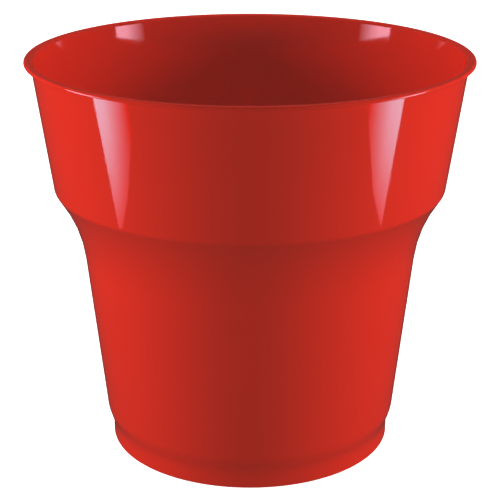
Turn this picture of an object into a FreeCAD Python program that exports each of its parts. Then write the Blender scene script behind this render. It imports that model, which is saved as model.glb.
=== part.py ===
import FreeCAD, Part
import math
import os

# A round sand bucket without a handle: one injection moulding in glossy plastic.
# The wall is a lower cone, a shoulder and a wider upper cone, with a turned-out lip on
# top and a short stepped-in foot below. The base is raised inside the foot, so that the
# bucket stands on a ring.
#
# Millimetres, +Z up. The origin is the centre of the ring that it stands on.
# Every outline lies in the XZ plane, where x is the radius from the bucket's axis.

# Overall size
RIM_RADIUS = 90.0  # outermost edge of the lip
HEIGHT = 163.7  # standing surface to the crest of the lip
WALL = 1.7  # side wall, from the foot to the shoulder

# Foot, and the small step from it to the lower wall
FOOT_RADIUS = 59.1
FOOT_DRAFT = 0.5  # degrees from vertical, as are all drafts and slopes
STEP_HEIGHT = 13.1  # top of the step, where the lower wall starts
STEP_RADIUS = 61.3
STEP_SLOPE = 19.0
STEP_ROUNDING = 14.0

# Lower wall, shoulder and upper wall
LOWER_DRAFT = 6.15
SHOULDER_HEIGHT = 110.4
SHOULDER_RADIUS = 80.2
SHOULDER_SLOPE = 35.6
SHOULDER_ROUNDING = 4.0  # outside radius of the shoulder's edge
SWEEP_ROUNDING = 60.5  # long hollow curve from the lower wall up to the shoulder
UPPER_DRAFT = 7.9
UPPER_INSIDE_DRAFT = 8.4  # the upper wall thins a little from the shoulder to the lip

# Lip, a thin ledge that rises slightly to its outer edge
LIP_THICKNESS = 1.5
LIP_SLOPE = 6.0  # from level
LIP_EDGE_ROUNDING = 1.0
LIP_LOWER_ROUNDING = 0.4
LIP_UNDER_ROUNDING = 0.5
LIP_INSIDE_ROUNDING = 1.2

# Base
RING_WIDTH = 2.2  # the ring that the bucket stands on
RING_DRAFT = -3.0
RING_EDGE_ROUNDING = 0.4
BASE_RECESS = 3.0  # standing surface to the underside of the base
BASE_THICKNESS = 1.8
RECESS_ROUNDING = 1.0
BASE_CORNER_ROUNDING = 3.5  # inside, where the wall meets the base

# Moulding gate, in a shallow dimple at the centre of the underside
DIMPLE_RADIUS = 6.0
DIMPLE_DEPTH = 0.8
DIMPLE_ROUNDING = 1.0
GATE_RADIUS = 1.3
GATE_LENGTH = 0.7
GATE_ROUNDING = 0.25

HORIZONTAL = 90.0
SAME_PLACE = 1e-6


def meet(line_a, line_b):
    """Return the point where two straight lines (radius, height, draft) cross."""
    ra, za, draft_a = line_a
    rb, zb, draft_b = line_b
    sin_a, cos_a = math.sin(math.radians(draft_a)), math.cos(math.radians(draft_a))
    sin_b, cos_b = math.sin(math.radians(draft_b)), math.cos(math.radians(draft_b))
    along_a = ((rb - ra) * cos_b - (zb - za) * sin_b) / (sin_a * cos_b - cos_a * sin_b)
    return ra + along_a * sin_a, za + along_a * cos_a


def inward(line, distance):
    """Move a line square to itself, towards the bucket's inside."""
    r, z, draft = line
    angle = math.radians(draft)
    return r - distance * math.cos(angle), z + distance * math.sin(angle), draft


def corner(line_a, line_b, rounding):
    """Return the rounded corner (radius, height, rounding) between two lines."""
    r, z = meet(line_a, line_b)
    return r, z, rounding


def outside_lines():
    """Return the outside of the wall as lines, from the foot to the lip."""
    return [
        (FOOT_RADIUS, 0.0, FOOT_DRAFT),
        (STEP_RADIUS, STEP_HEIGHT, STEP_SLOPE),
        (STEP_RADIUS, STEP_HEIGHT, LOWER_DRAFT),
        (SHOULDER_RADIUS, SHOULDER_HEIGHT, SHOULDER_SLOPE),
        (SHOULDER_RADIUS, SHOULDER_HEIGHT, UPPER_DRAFT),
    ]


def inside_lines():
    """Return the inside of the wall as lines, from the foot to the lip."""
    lines = [inward(line, WALL) for line in outside_lines()]
    r, z, _ = lines[-1]
    lines[-1] = (r, z, UPPER_INSIDE_DRAFT)
    return lines


def wall_corners(lines, grow):
    """Round the corners between the wall's lines.

    grow is added to the hollow corners' radii and taken off the ridges' radii. It is 0
    outside and the wall thickness inside, which keeps the wall even round each curve.
    """
    roundings = [
        STEP_ROUNDING + grow,
        STEP_ROUNDING - grow,
        SWEEP_ROUNDING + grow,
        SHOULDER_ROUNDING - grow,
    ]
    pairs = zip(lines, lines[1:], roundings)
    return [corner(low, high, rounding) for low, high, rounding in pairs]


def lip_lines():
    """Return the lip's top, outer edge and underside as lines.

    The crest, at HEIGHT, is the highest point of the rounding at the lip's outer edge.
    """
    slope = math.radians(LIP_SLOPE)
    draft = HORIZONTAL - LIP_SLOPE
    crest_r = RIM_RADIUS - LIP_EDGE_ROUNDING
    crest_z = HEIGHT - LIP_EDGE_ROUNDING
    top_r = crest_r - LIP_EDGE_ROUNDING * math.sin(slope)
    top_z = crest_z + LIP_EDGE_ROUNDING * math.cos(slope)
    under_r = top_r + LIP_THICKNESS * math.sin(slope)
    under_z = top_z - LIP_THICKNESS * math.cos(slope)
    return (top_r, top_z, draft), (RIM_RADIUS, 0.0, 0.0), (under_r, under_z, draft)


def lip_corners(outer_wall, inner_wall):
    """Return the lip, from under its overhang, round its edge and down to the inside."""
    top, edge, underside = lip_lines()
    return [
        corner(outer_wall, underside, LIP_UNDER_ROUNDING),
        corner(underside, edge, LIP_LOWER_ROUNDING),
        corner(edge, top, LIP_EDGE_ROUNDING),
        corner(inner_wall, top, LIP_INSIDE_ROUNDING),
    ]


def underside_corners():
    """Return the base from below: gate, dimple, recess and standing ring."""
    dimple_top = BASE_RECESS + DIMPLE_DEPTH
    ring_inside = (FOOT_RADIUS - RING_WIDTH, 0.0, RING_DRAFT)
    recess = (0.0, BASE_RECESS, HORIZONTAL)
    ground = (0.0, 0.0, HORIZONTAL)
    return [
        (0.0, dimple_top - GATE_LENGTH, 0.0),
        (GATE_RADIUS, dimple_top - GATE_LENGTH, GATE_ROUNDING),
        (GATE_RADIUS, dimple_top, GATE_ROUNDING),
        (DIMPLE_RADIUS, dimple_top, DIMPLE_ROUNDING),
        (DIMPLE_RADIUS + DIMPLE_DEPTH, BASE_RECESS, DIMPLE_ROUNDING),
        corner(ring_inside, recess, RECESS_ROUNDING),
        corner(ring_inside, ground, RING_EDGE_ROUNDING),
        (FOOT_RADIUS, 0.0, RING_EDGE_ROUNDING),
    ]


def base_top_corners(inner_foot):
    """Return the inside of the base: rounded corner, flat floor and gate boss."""
    floor_height = BASE_RECESS + BASE_THICKNESS
    floor = (0.0, floor_height, HORIZONTAL)
    boss_rounding = DIMPLE_ROUNDING
    return [
        corner(inner_foot, floor, BASE_CORNER_ROUNDING),
        (DIMPLE_RADIUS + 2.0 * DIMPLE_DEPTH, floor_height, boss_rounding),
        (DIMPLE_RADIUS + DIMPLE_DEPTH, floor_height + DIMPLE_DEPTH, boss_rounding),
        (0.0, floor_height + DIMPLE_DEPTH, 0.0),
    ]


def rounded_wire(corners):
    """Join (radius, height, rounding) corners in a closed wire of lines and arcs."""
    edges = []
    count = len(corners)
    points = [FreeCAD.Vector(r, 0.0, z) for r, z, _ in corners]
    starts, ends = [], []
    for i in range(count):
        before = (points[i - 1] - points[i]).normalize()
        after = (points[(i + 1) % count] - points[i]).normalize()
        rounding = corners[i][2]
        half_angle = before.getAngle(after) / 2.0
        reach = rounding / math.tan(half_angle)
        start = points[i] + before * reach
        end = points[i] + after * reach
        starts.append(start)
        ends.append(end)
        if rounding > 0.0:
            bisector = (before + after).normalize()
            middle = points[i] + bisector * (rounding / math.sin(half_angle) - rounding)
            edges.append(Part.Arc(start, middle, end).toShape())
    for i in range(count):
        start, end = ends[i], starts[(i + 1) % count]
        if start.distanceToPoint(end) > SAME_PLACE:
            edges.append(Part.LineSegment(start, end).toShape())
    return Part.Wire(Part.__sortEdges__(edges))


def turn(corners):
    """Turn a closed outline once round the bucket's axis."""
    face = Part.Face(rounded_wire(corners))
    solid = face.revolve(FreeCAD.Vector(0, 0, 0), FreeCAD.Vector(0, 0, 1), 360)
    if not solid.isValid() or solid.Volume <= 0.0:
        raise ValueError("the bucket's outline doesn't turn into a valid solid")
    return solid


def make_bucket():
    """Return the whole moulding as one solid."""
    outer = outside_lines()
    inner = inside_lines()
    corners = underside_corners()
    corners += wall_corners(outer, 0.0)
    corners += lip_corners(outer[-1], inner[-1])
    corners += reversed(wall_corners(inner, WALL))
    corners += base_top_corners(inner[0])
    return turn(corners)


def save(shape, node):
    """Write one sub-part and print what a maker would check."""
    os.makedirs("parts", exist_ok=True)
    shape.exportStep("parts/" + node + ".step")
    box = shape.optimalBoundingBox(False, False)
    print(node, "volume %.1f cm3" % (shape.Volume / 1000.0))
    print(node, "box %.2f x %.2f x %.2f mm" % (box.XLength, box.YLength, box.ZLength))


save(make_bucket(), "bucket")
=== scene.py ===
import math

import bpy
from mathutils import Matrix, Vector


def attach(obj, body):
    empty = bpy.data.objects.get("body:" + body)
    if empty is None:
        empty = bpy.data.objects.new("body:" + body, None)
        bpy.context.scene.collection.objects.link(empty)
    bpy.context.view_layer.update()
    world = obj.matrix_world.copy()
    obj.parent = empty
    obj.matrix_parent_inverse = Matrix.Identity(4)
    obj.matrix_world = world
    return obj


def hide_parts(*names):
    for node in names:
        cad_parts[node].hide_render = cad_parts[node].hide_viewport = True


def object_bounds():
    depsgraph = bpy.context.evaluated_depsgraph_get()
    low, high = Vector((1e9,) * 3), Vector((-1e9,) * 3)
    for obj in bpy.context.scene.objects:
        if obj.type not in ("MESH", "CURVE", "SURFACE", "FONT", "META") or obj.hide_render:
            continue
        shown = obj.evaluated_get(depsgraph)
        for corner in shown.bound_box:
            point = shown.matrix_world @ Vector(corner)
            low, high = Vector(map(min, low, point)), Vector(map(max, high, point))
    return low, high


# A glossy red sand bucket, turned from one outline round its axis, in a plain white studio.
# Metres, +Z up. The origin is the centre of the ring that the bucket stands on.

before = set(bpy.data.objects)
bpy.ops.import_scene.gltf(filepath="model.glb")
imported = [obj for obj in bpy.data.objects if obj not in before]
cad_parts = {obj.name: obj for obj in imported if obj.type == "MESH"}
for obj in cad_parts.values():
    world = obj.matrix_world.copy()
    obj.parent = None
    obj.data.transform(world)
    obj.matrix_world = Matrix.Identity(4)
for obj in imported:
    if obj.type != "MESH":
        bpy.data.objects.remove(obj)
cad_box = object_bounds()
cad_low, cad_high = cad_box

# Overall size, from the CAD model's box
RIM_RADIUS = (cad_high[0] - cad_low[0]) / 2
HEIGHT = cad_high[2] - cad_low[2]

# Foot, and the small step from it to the lower wall. Drafts and slopes are in degrees
# from vertical.
FOOT_RADIUS = 0.0591
FOOT_DRAFT = 0.5
STEP_HEIGHT = 0.0131
STEP_RADIUS = 0.0613
STEP_SLOPE = 19.0
STEP_ROUNDING = 0.014

# Lower wall, shoulder and upper wall
WALL = 0.0017
LOWER_DRAFT = 6.15
SHOULDER_HEIGHT = 0.1104
SHOULDER_RADIUS = 0.0802
SHOULDER_SLOPE = 35.6
SHOULDER_ROUNDING = 0.004
SWEEP_ROUNDING = 0.0605
UPPER_DRAFT = 7.9
UPPER_INSIDE_DRAFT = 8.4

# Lip, a thin ledge that rises slightly to its outer edge; its slope is from level
LIP_THICKNESS = 0.0015
LIP_SLOPE = 6.0
LIP_EDGE_ROUNDING = 0.001
LIP_LOWER_ROUNDING = 0.0004
LIP_UNDER_ROUNDING = 0.0005
LIP_INSIDE_ROUNDING = 0.0012

# Base, raised inside the foot, with the moulding gate in a dimple at its centre
RING_WIDTH = 0.0022
RING_DRAFT = -3.0
RING_EDGE_ROUNDING = 0.0004
BASE_RECESS = 0.003
BASE_THICKNESS = 0.0018
RECESS_ROUNDING = 0.001
BASE_CORNER_ROUNDING = 0.0035
DIMPLE_RADIUS = 0.006
DIMPLE_DEPTH = 0.0008
DIMPLE_ROUNDING = 0.001
GATE_RADIUS = 0.0013
GATE_LENGTH = 0.0007
GATE_ROUNDING = 0.00025

HORIZONTAL = 90.0

# Mesh
TURN_STEPS = 224  # round the axis
ARC_STEP = math.radians(9.0)
LONGEST_STEP = 0.006  # along the outline's straight parts

# Plastic. Noise scales are per metre, and wear is added to the roughness.
PLASTIC_IOR = 1.49
NOISE_ROUGHNESS = 0.55
RED_DEEP = (0.735, 0.0165, 0.0068, 1)
RED_LIGHT = (0.785, 0.0175, 0.0074, 1)
CLOUD_SCALE = 16.0
CLOUD_DETAIL = 3.0
SCUFF_SCALE = 240.0
SCUFF_DETAIL = 4.0
SCUFF_STARTS = 0.55  # noise value
SCUFF_FULL = 0.75
POLISHED_ROUGHNESS = 0.045
SCUFFED_ROUGHNESS = 0.11
FOOT_WEAR = 0.5
FOOT_WEAR_HEIGHT = 0.0012
LIP_WEAR = 0.12
PEEL_SCALE = 420.0
PEEL_DETAIL = 1.0
PEEL_DEPTH = 0.0000015

# Camera. Its place is in rim radii back from the bucket's axis and up from the floor.
CAMERA_BACK = 6.343
CAMERA_UP = 3.1353
CAMERA_PITCH = math.radians(19.49)
CAMERA_LENS = 103.8  # mm, as is the sensor
CAMERA_SENSOR = 36.0
CAMERA_NEAREST = 0.01
CAMERA_FARTHEST = 100.0

# Floor
FLOOR_SIZE = 40.0
FLOOR_COLOUR = (0.86, 0.86, 0.86, 1)
FLOOR_ROUGHNESS = 0.8
FLOOR_GLOW = 1.0

# Lamps, which light surfaces but aren't seen in reflections:
# (name, place, point that it faces, width, radiance). A paired lamp stands on the right
# and has a twin on the left.
BUCKET_MIDDLE = (0.0, 0.0, 0.09)
PAIRED_LAMPS = (
    ("side", (0.5, -0.1, 0.18), (0.0, -0.1, 0.18), 0.2, 16.0),
    ("wing", (1.0, 0.27, 0.69), BUCKET_MIDDLE, 0.4, 6.6),
    ("back", (0.65, 0.65, 0.86), BUCKET_MIDDLE, 0.4, 10.6),
)
SINGLE_LAMPS = (
    ("front", (0.0, -1.18, -0.12), BUCKET_MIDDLE, 0.4, 8.7),
    ("below", (0.0, 0.0, -0.6), BUCKET_MIDDLE, 0.4, 0.6),
)

# Softboxes, which only reflections see. Each is a flat card beside the bucket, square to
# the x axis, and its corners are (y, z) in its own axes. Its front edge leans back.
SOFTBOX_AWAY = 0.5
SOFTBOX_TOP = 0.26
FRONT_EDGE = -0.25  # y at z = 0, as are the other edges of the fade
FRONT_LEAN = 0.22
SOFTBOXES = {
    "left": {
        "centre": (-SOFTBOX_AWAY, 0.0, 0.0),
        "back_foot": (-0.106, -0.155),
        "back_lean": 0.353,
        "knee": (-0.190, -0.141),
        "front_foot_z": -0.1065,
    },
    "right": {
        "centre": (SOFTBOX_AWAY, -0.024, 0.0),
        "back_foot": (-0.080, -0.146),
        "back_lean": 0.235,
        "knee": (-0.166, -0.136),
        "front_foot_z": -0.0951,
    },
}

# Softbox glow. Green and blue fade out towards the front edge and towards the foot. Red
# does so only high up, and is even low down except just inside the front edge.
FADE_DARK = -0.236  # y
FADE_FULL = -0.108
FOOT_DARK = -0.175  # z
FOOT_FULL = -0.03
GREEN_GLOW = 6.6
BLUE_TO_GREEN = 1.29
RED_GLOW_LOW = 3.3
RED_GLOW_HIGH = 11.0
RED_ALL_LOW = -0.05  # z
RED_ALL_HIGH = 0.19

# Room, as reflections see it, and the veil that a white background throws over a lens
ROOM = 0.03
VEIL = (0.0135, 0.0135, 0.0098)
WHITE = (1, 1, 1, 1)


def meet(line_a, line_b):
    """Return the point where two straight lines (radius, height, draft) cross."""
    ra, za, draft_a = line_a
    rb, zb, draft_b = line_b
    sin_a, cos_a = math.sin(math.radians(draft_a)), math.cos(math.radians(draft_a))
    sin_b, cos_b = math.sin(math.radians(draft_b)), math.cos(math.radians(draft_b))
    along_a = ((rb - ra) * cos_b - (zb - za) * sin_b) / (sin_a * cos_b - cos_a * sin_b)
    return ra + along_a * sin_a, za + along_a * cos_a


def inward(line, distance):
    """Move a line square to itself, towards the bucket's inside."""
    r, z, draft = line
    angle = math.radians(draft)
    return r - distance * math.cos(angle), z + distance * math.sin(angle), draft


def corner(line_a, line_b, rounding):
    """Return the rounded corner (radius, height, rounding) between two lines."""
    r, z = meet(line_a, line_b)
    return r, z, rounding


def wall_corners(lines, grow):
    """Round the corners between the wall's lines.

    grow is 0 outside and the wall thickness inside, which keeps the wall even.
    """
    roundings = [
        STEP_ROUNDING + grow,
        STEP_ROUNDING - grow,
        SWEEP_ROUNDING + grow,
        SHOULDER_ROUNDING - grow,
    ]
    pairs = zip(lines, lines[1:], roundings)
    return [corner(low, high, rounding) for low, high, rounding in pairs]


def outside_lines():
    """Return the outside of the wall as lines, from the foot to the lip."""
    return [
        (FOOT_RADIUS, 0.0, FOOT_DRAFT),
        (STEP_RADIUS, STEP_HEIGHT, STEP_SLOPE),
        (STEP_RADIUS, STEP_HEIGHT, LOWER_DRAFT),
        (SHOULDER_RADIUS, SHOULDER_HEIGHT, SHOULDER_SLOPE),
        (SHOULDER_RADIUS, SHOULDER_HEIGHT, UPPER_DRAFT),
    ]


def inside_lines():
    """Return the inside of the wall, which thins a little from the shoulder to the lip."""
    lines = [inward(line, WALL) for line in outside_lines()]
    r, z, _ = lines[-1]
    lines[-1] = (r, z, UPPER_INSIDE_DRAFT)
    return lines


def lip_corners(outer_wall, inner_wall):
    """Return the lip, from under its overhang, round its edge and down to the inside."""
    slope = math.radians(LIP_SLOPE)
    draft = HORIZONTAL - LIP_SLOPE
    top_r = RIM_RADIUS - LIP_EDGE_ROUNDING - LIP_EDGE_ROUNDING * math.sin(slope)
    top_z = HEIGHT - LIP_EDGE_ROUNDING + LIP_EDGE_ROUNDING * math.cos(slope)
    under_r = top_r + LIP_THICKNESS * math.sin(slope)
    under_z = top_z - LIP_THICKNESS * math.cos(slope)
    top = (top_r, top_z, draft)
    edge = (RIM_RADIUS, 0.0, 0.0)
    underside = (under_r, under_z, draft)
    return [
        corner(outer_wall, underside, LIP_UNDER_ROUNDING),
        corner(underside, edge, LIP_LOWER_ROUNDING),
        corner(edge, top, LIP_EDGE_ROUNDING),
        corner(inner_wall, top, LIP_INSIDE_ROUNDING),
    ]


def underside_corners():
    """Return the base from below: gate, dimple, recess and standing ring."""
    dimple_top = BASE_RECESS + DIMPLE_DEPTH
    ring_inside = (FOOT_RADIUS - RING_WIDTH, 0.0, RING_DRAFT)
    return [
        (0.0, dimple_top - GATE_LENGTH, 0.0),
        (GATE_RADIUS, dimple_top - GATE_LENGTH, GATE_ROUNDING),
        (GATE_RADIUS, dimple_top, GATE_ROUNDING),
        (DIMPLE_RADIUS, dimple_top, DIMPLE_ROUNDING),
        (DIMPLE_RADIUS + DIMPLE_DEPTH, BASE_RECESS, DIMPLE_ROUNDING),
        corner(ring_inside, (0.0, BASE_RECESS, HORIZONTAL), RECESS_ROUNDING),
        corner(ring_inside, (0.0, 0.0, HORIZONTAL), RING_EDGE_ROUNDING),
        (FOOT_RADIUS, 0.0, RING_EDGE_ROUNDING),
    ]


def floor_corners(inner_foot):
    """Return the inside of the base: rounded corner, flat floor and gate boss."""
    floor_height = BASE_RECESS + BASE_THICKNESS
    return [
        corner(inner_foot, (0.0, floor_height, HORIZONTAL), BASE_CORNER_ROUNDING),
        (DIMPLE_RADIUS + 2 * DIMPLE_DEPTH, floor_height, DIMPLE_ROUNDING),
        (DIMPLE_RADIUS + DIMPLE_DEPTH, floor_height + DIMPLE_DEPTH, DIMPLE_ROUNDING),
        (0.0, floor_height + DIMPLE_DEPTH, 0.0),
    ]


def outline_corners():
    """Return the whole outline, from the gate round the outside and lip to the floor."""
    outer = outside_lines()
    inner = inside_lines()
    corners = underside_corners()
    corners += wall_corners(outer, 0.0)
    corners += lip_corners(outer[-1], inner[-1])
    corners += reversed(wall_corners(inner, WALL))
    corners += floor_corners(inner[0])
    return corners


def arc_points(before, at, after, rounding):
    """Return the points of the arc that rounds a corner, and their outward normals."""
    to_before = (before - at).normalized()
    to_after = (after - at).normalized()
    half_angle = to_before.angle(to_after) / 2
    bisector = (to_before + to_after).normalized()
    centre = at + bisector * (rounding / math.sin(half_angle))
    first = (at + to_before * (rounding / math.tan(half_angle)) - centre).normalized()
    turn = math.pi - 2 * half_angle
    side = 1.0 if to_before.cross(to_after) < 0 else -1.0
    steps = max(2, math.ceil(turn / ARC_STEP))
    found = []
    for i in range(steps + 1):
        angle = side * turn * i / steps
        spoke = Matrix.Rotation(angle, 2) @ first
        found.append((centre + spoke * rounding, spoke * side))
    return found


def outline():
    """Return the outline's points (radius, height) with their outward normals."""
    corners = outline_corners()
    places = [Vector((r, z)) for r, z, _ in corners]
    points = [(places[0], Vector((0, -1)))]
    for i in range(1, len(corners) - 1):
        bend = arc_points(places[i - 1], places[i], places[i + 1], corners[i][2])
        last, normal = points[-1]
        gap = bend[0][0] - last
        pieces = max(1, math.ceil(gap.length / LONGEST_STEP))
        points += [(last + gap * (k / pieces), normal) for k in range(1, pieces)]
        points += bend
    points.append((places[-1], Vector((0, 1))))
    return points


def turned_mesh(name, points):
    """Turn the outline once round the axis, in quads, with a point at each end."""
    verts, normals, faces = [], [], []
    for place, normal in points[1:-1]:
        for k in range(TURN_STEPS):
            angle = 2 * math.pi * k / TURN_STEPS
            out = Vector((math.cos(angle), math.sin(angle), 0))
            verts.append(out * place.x + Vector((0, 0, place.y)))
            normals.append(out * normal.x + Vector((0, 0, normal.y)))
    rings = len(points) - 2
    for i in range(rings - 1):
        for k in range(TURN_STEPS):
            a = i * TURN_STEPS + k
            b = i * TURN_STEPS + (k + 1) % TURN_STEPS
            faces.append((a, b, b + TURN_STEPS, a + TURN_STEPS))
    for ring, (place, normal) in ((0, points[0]), (rings - 1, points[-1])):
        tip = len(verts)
        verts.append(Vector((0, 0, place.y)))
        normals.append(Vector((0, 0, normal.y)))
        for k in range(TURN_STEPS):
            a = ring * TURN_STEPS + k
            b = ring * TURN_STEPS + (k + 1) % TURN_STEPS
            faces.append((b, a, tip) if ring == 0 else (a, b, tip))
    mesh = bpy.data.meshes.new(name)
    mesh.from_pydata(verts, [], faces)
    mesh.shade_smooth()
    mesh.normals_split_custom_set_from_vertices(normals)
    return mesh


def node(tree, kind, **settings):
    """Add a shader node. A setting is an attribute of the node or, failing that, an input."""
    made = tree.nodes.new(kind)
    for name, value in settings.items():
        if hasattr(made, name):
            setattr(made, name, value)
        else:
            made.inputs[name].default_value = value
    return made


def link(tree, source, output, target, socket):
    """Join one node's output to another's input."""
    tree.links.new(source.outputs[output], target.inputs[socket])


def noise(tree, place, scale, detail):
    """Add noise that is fixed to the object."""
    made = node(tree, "ShaderNodeTexNoise", Scale=scale, Detail=detail)
    made.inputs["Roughness"].default_value = NOISE_ROUGHNESS
    link(tree, place, "Object", made, "Vector")
    return made


def between(tree, source, output, start, end, low, high, shape="SMOOTHSTEP"):
    """Run from low to high while a value goes from start to end."""
    made = node(tree, "ShaderNodeMapRange", interpolation_type=shape)
    made.inputs["From Min"].default_value = start
    made.inputs["From Max"].default_value = end
    made.inputs["To Min"].default_value = low
    made.inputs["To Max"].default_value = high
    link(tree, source, output, made, "Value")
    return made


def clouded_red(tree, place):
    """Return the base colour, which clouds a little between two reds."""
    clouds = noise(tree, place, CLOUD_SCALE, CLOUD_DETAIL)
    colour = node(tree, "ShaderNodeMix", data_type="RGBA")
    colour.inputs["A"].default_value = RED_DEEP
    colour.inputs["B"].default_value = RED_LIGHT
    link(tree, clouds, "Fac", colour, "Factor")
    return colour


def worn_gloss(tree, place):
    """Return the roughness: polished, with fine scuffs, and worn at the foot and the lip."""
    scuffs = noise(tree, place, SCUFF_SCALE, SCUFF_DETAIL)
    scuffing = (SCUFF_STARTS, SCUFF_FULL, POLISHED_ROUGHNESS, SCUFFED_ROUGHNESS)
    gloss = between(tree, scuffs, "Fac", *scuffing)
    axes = node(tree, "ShaderNodeSeparateXYZ")
    link(tree, place, "Object", axes, "Vector")
    foot = between(tree, axes, "Z", 0.0, FOOT_WEAR_HEIGHT, FOOT_WEAR, 0.0)
    lip = between(tree, axes, "Z", HEIGHT - LIP_EDGE_ROUNDING, HEIGHT, 0.0, LIP_WEAR)
    wear = node(tree, "ShaderNodeMath", operation="ADD")
    link(tree, foot, "Result", wear, 0)
    link(tree, lip, "Result", wear, 1)
    total = node(tree, "ShaderNodeMath", operation="MULTIPLY_ADD")
    link(tree, wear, "Value", total, 0)
    link(tree, scuffs, "Fac", total, 1)
    link(tree, gloss, "Result", total, 2)
    return total


def new_material(name):
    """Return a new material with its node tree."""
    material = bpy.data.materials.new(name)
    material.use_nodes = True
    return material, material.node_tree


def red_plastic():
    """Return glossy self-coloured plastic with a moulded surface's slight orange peel."""
    material, tree = new_material("red_plastic")
    plastic = tree.nodes["Principled BSDF"]
    plastic.inputs["IOR"].default_value = PLASTIC_IOR
    place = node(tree, "ShaderNodeTexCoord")
    link(tree, clouded_red(tree, place), "Result", plastic, "Base Color")
    link(tree, worn_gloss(tree, place), "Value", plastic, "Roughness")
    peel = node(tree, "ShaderNodeBump", Strength=1.0, Distance=PEEL_DEPTH)
    link(tree, noise(tree, place, PEEL_SCALE, PEEL_DETAIL), "Fac", peel, "Height")
    link(tree, peel, "Normal", plastic, "Normal")
    return material


def make_bucket():
    """Make the whole moulding as one piece, in place of the CAD solid."""
    mesh = turned_mesh("bucket_moulding", outline())
    bucket = bpy.data.objects.new("bucket_moulding", mesh)
    bpy.context.scene.collection.objects.link(bucket)
    bucket.data.materials.append(red_plastic())
    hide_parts("bucket")
    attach(bucket, "root")


def make_camera():
    """Make the camera, which looks slightly down at the bucket from the front."""
    data = bpy.data.cameras.new("camera")
    data.lens = CAMERA_LENS
    data.sensor_width = CAMERA_SENSOR
    data.clip_start = CAMERA_NEAREST
    data.clip_end = CAMERA_FARTHEST
    camera = bpy.data.objects.new("camera", data)
    camera.location = (0, -CAMERA_BACK * RIM_RADIUS, CAMERA_UP * RIM_RADIUS)
    camera.rotation_euler = (math.pi / 2 - CAMERA_PITCH, 0, 0)
    bpy.context.scene.collection.objects.link(camera)
    bpy.context.scene.camera = camera


def floor_material():
    """Return white that is clear from below, so that the bucket's underside can be seen."""
    material, tree = new_material("floor")
    paint = tree.nodes["Principled BSDF"]
    paint.inputs["Base Color"].default_value = FLOOR_COLOUR
    paint.inputs["Roughness"].default_value = FLOOR_ROUGHNESS
    paint.inputs["Specular IOR Level"].default_value = 0.0
    paint.inputs["Emission Color"].default_value = WHITE
    paint.inputs["Emission Strength"].default_value = FLOOR_GLOW
    facing = node(tree, "ShaderNodeNewGeometry")
    clear = node(tree, "ShaderNodeBsdfTransparent")
    either = node(tree, "ShaderNodeMixShader")
    link(tree, facing, "Backfacing", either, 0)
    link(tree, paint, "BSDF", either, 1)
    link(tree, clear, "BSDF", either, 2)
    link(tree, either, "Shader", tree.nodes["Material Output"], "Surface")
    return material


def make_floor():
    """Make a floor that is only seen: it throws no light, shadow or reflection."""
    bpy.ops.mesh.primitive_plane_add(size=FLOOR_SIZE)
    floor = bpy.context.object
    floor.name = "floor"
    floor.data.materials.append(floor_material())
    floor.visible_glossy = False
    floor.visible_diffuse = False
    floor.visible_shadow = False


def make_lamp(name, place, faces, width, radiance):
    """Make a square lamp that lights surfaces and isn't seen in reflections."""
    data = bpy.data.lights.new(name, "AREA")
    data.shape = "SQUARE"
    data.size = width
    data.energy = radiance * width**2 * math.pi
    lamp = bpy.data.objects.new(name, data)
    lamp.location = place
    lamp.rotation_euler = (Vector(faces) - Vector(place)).to_track_quat("-Z", "Y").to_euler()
    lamp.visible_camera = False
    lamp.visible_glossy = False
    bpy.context.scene.collection.objects.link(lamp)


def make_lamps():
    """Make every lamp, with the paired ones on both sides."""
    for name, (x, y, z), *rest in PAIRED_LAMPS:
        make_lamp(name + "_left", (-x, y, z), *rest)
        make_lamp(name + "_right", (x, y, z), *rest)
    for lamp in SINGLE_LAMPS:
        make_lamp(*lamp)


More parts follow.
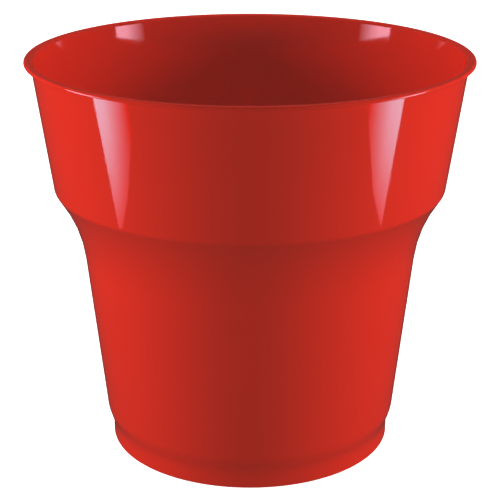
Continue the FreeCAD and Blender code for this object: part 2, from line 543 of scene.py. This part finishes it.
def softbox_material():
    """Return a glow that fades towards the front edge and the foot, where it is redder."""
    material, tree = new_material("softbox")
    tree.nodes.clear()
    place = node(tree, "ShaderNodeTexCoord")
    axes = node(tree, "ShaderNodeSeparateXYZ")
    link(tree, place, "Object", axes, "Vector")
    back = node(tree, "ShaderNodeVectorMath", operation="DOT_PRODUCT")
    back.inputs[1].default_value = (0.0, 1.0, -FRONT_LEAN)
    link(tree, place, "Object", back, 0)
    fade = between(tree, back, "Value", FADE_DARK, FADE_FULL, 0.0, 1.0, "LINEAR")

    glow_up = between(tree, axes, "Z", FOOT_DARK, FOOT_FULL, 0.0, GREEN_GLOW)
    green = node(tree, "ShaderNodeMath", operation="MULTIPLY")
    link(tree, fade, "Result", green, 0)
    link(tree, glow_up, "Result", green, 1)
    blue = node(tree, "ShaderNodeMath", operation="MULTIPLY")
    blue.inputs[1].default_value = BLUE_TO_GREEN
    link(tree, green, "Value", blue, 0)

    red_low = between(tree, back, "Value", FRONT_EDGE, FADE_DARK, 0.0, RED_GLOW_LOW)
    red_high = node(tree, "ShaderNodeMath", operation="MULTIPLY")
    red_high.inputs[1].default_value = RED_GLOW_HIGH
    link(tree, fade, "Result", red_high, 0)
    red_up = between(tree, axes, "Z", RED_ALL_LOW, RED_ALL_HIGH, 0.0, 1.0)
    red = node(tree, "ShaderNodeMix", data_type="FLOAT")
    link(tree, red_up, "Result", red, "Factor")
    link(tree, red_low, "Result", red, "A")
    link(tree, red_high, "Value", red, "B")

    colour = node(tree, "ShaderNodeCombineXYZ")
    link(tree, red, "Result", colour, "X")
    link(tree, green, "Value", colour, "Y")
    link(tree, blue, "Value", colour, "Z")
    glow = node(tree, "ShaderNodeEmission")
    link(tree, colour, "Vector", glow, "Color")
    out = node(tree, "ShaderNodeOutputMaterial")
    link(tree, glow, "Emission", out, "Surface")
    return material


def softbox_corners(shape):
    """Return the softbox's corners (y, z), from the back edge's foot round to its top."""
    foot_y, foot_z = shape["back_foot"]
    front_z = shape["front_foot_z"]
    return [
        (foot_y, foot_z),
        shape["knee"],
        (FRONT_EDGE + FRONT_LEAN * front_z, front_z),
        (FRONT_EDGE + FRONT_LEAN * SOFTBOX_TOP, SOFTBOX_TOP),
        (foot_y + shape["back_lean"] * (SOFTBOX_TOP - foot_z), SOFTBOX_TOP),
    ]


def make_softbox(name, shape, material):
    """Make a card that only reflections see."""
    corners = [(0, y, z) for y, z in softbox_corners(shape)]
    mesh = bpy.data.meshes.new("softbox_" + name)
    mesh.from_pydata(corners, [], [range(len(corners))])
    mesh.materials.append(material)
    softbox = bpy.data.objects.new("softbox_" + name, mesh)
    softbox.location = shape["centre"]
    softbox.visible_camera = False
    softbox.visible_diffuse = False
    softbox.visible_shadow = False
    bpy.context.scene.collection.objects.link(softbox)


def make_softboxes():
    """Make both softboxes, which share one material."""
    material = softbox_material()
    for name, shape in SOFTBOXES.items():
        make_softbox(name, shape, material)


def make_world():
    """Make a world that is white behind the bucket and nearly dark in its reflections."""
    world = bpy.data.worlds.new("studio")
    world.use_nodes = True
    tree = world.node_tree
    rays = node(tree, "ShaderNodeLightPath")
    strength = node(tree, "ShaderNodeMath", operation="MULTIPLY_ADD")
    strength.inputs[1].default_value = ROOM
    link(tree, rays, "Is Glossy Ray", strength, 0)
    link(tree, rays, "Is Camera Ray", strength, 2)
    background = tree.nodes["Background"]
    background.inputs["Color"].default_value = WHITE
    link(tree, strength, "Value", background, "Strength")
    bpy.context.scene.world = world


def set_view():
    """Show plain colours, with the veil added."""
    view = bpy.context.scene.view_settings
    view.view_transform = "Standard"
    view.use_curve_mapping = True
    view.curve_mapping.black_level = [-veil for veil in VEIL]
    view.curve_mapping.update()


make_bucket()
make_camera()
make_floor()
make_lamps()
make_softboxes()
make_world()
set_view()
